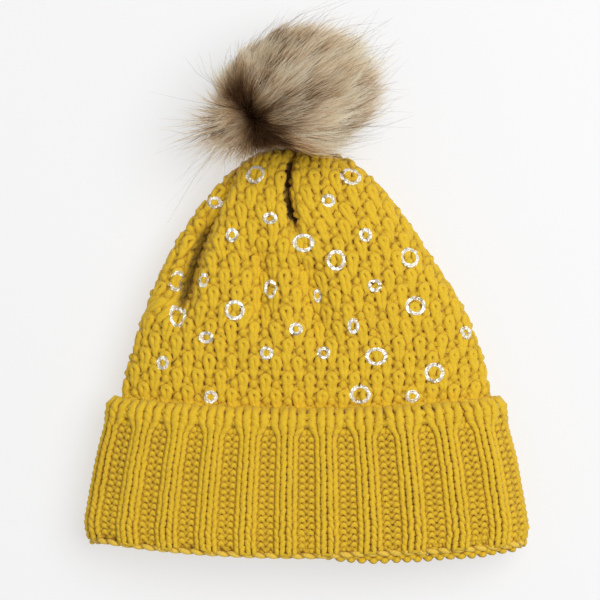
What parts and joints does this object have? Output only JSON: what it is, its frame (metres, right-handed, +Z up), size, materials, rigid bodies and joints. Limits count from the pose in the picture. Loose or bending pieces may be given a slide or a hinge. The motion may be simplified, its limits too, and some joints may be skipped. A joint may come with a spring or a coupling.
{
  "type": "knit beanie",
  "caption": "Flat-lying knit beanie with a gathered moss-stitch crown, a turned-up rib cuff, scattered foil rings and a tied-on fur pompom that flops.",
  "frame": {"origin": "on the table under the middle of the flat-lying hat and pompom", "axes": "+X across the hat to its wearer's left as it lies face up, +Y from the brim to the pompom, +Z up from the table through the hat's front"},
  "size_m": [0.22, 0.2685, 0.071],
  "materials": {
    "crown_knit": "mustard moss-stitch knit",
    "rib_knit": "mustard rib knit",
    "silver_foil": "pressed silver foil",
    "button_plastic": "matt moulded button",
    "tie_thread": "twisted thread",
    "fur": "long beige pile with dark brown roots",
    "wadding": "loose fibre filling"
  },
  "bodies": {
    "hat": {"crown_shell": "crown_knit", "cuff_band": "rib_knit", "brim_chain": "rib_knit", "gather_thread": "rib_knit", "back_seam": "crown_knit", "foil_rings_front_large": "silver_foil", "foil_rings_front_small": "silver_foil", "foil_rings_back_large": "silver_foil", "foil_rings_back_small": "silver_foil", "anchor_button": "button_plastic", "anchor_cord": "tie_thread"},
    "knot": {"tie_knot": "tie_thread"},
    "pompom": {"pompom_fur": "fur", "pompom_stuffing": "wadding", "pompom_draw_thread": "tie_thread", "pompom_cord": "tie_thread"}
  },
  "joints": [
    {"name": "pompom_sway", "type": "hinge", "parent": "hat", "child": "knot", "pos_m": [-0.004, 0.07749, 0.01937], "axis": [0, -0.5299, 0.848], "range_deg": [-22, 22]},
    {"name": "pompom_nod", "type": "hinge", "parent": "knot", "child": "pompom", "pos_m": [-0.004, 0.07749, 0.01937], "axis": [1, 0, 0], "range_deg": [-30, 18]}
  ]
}
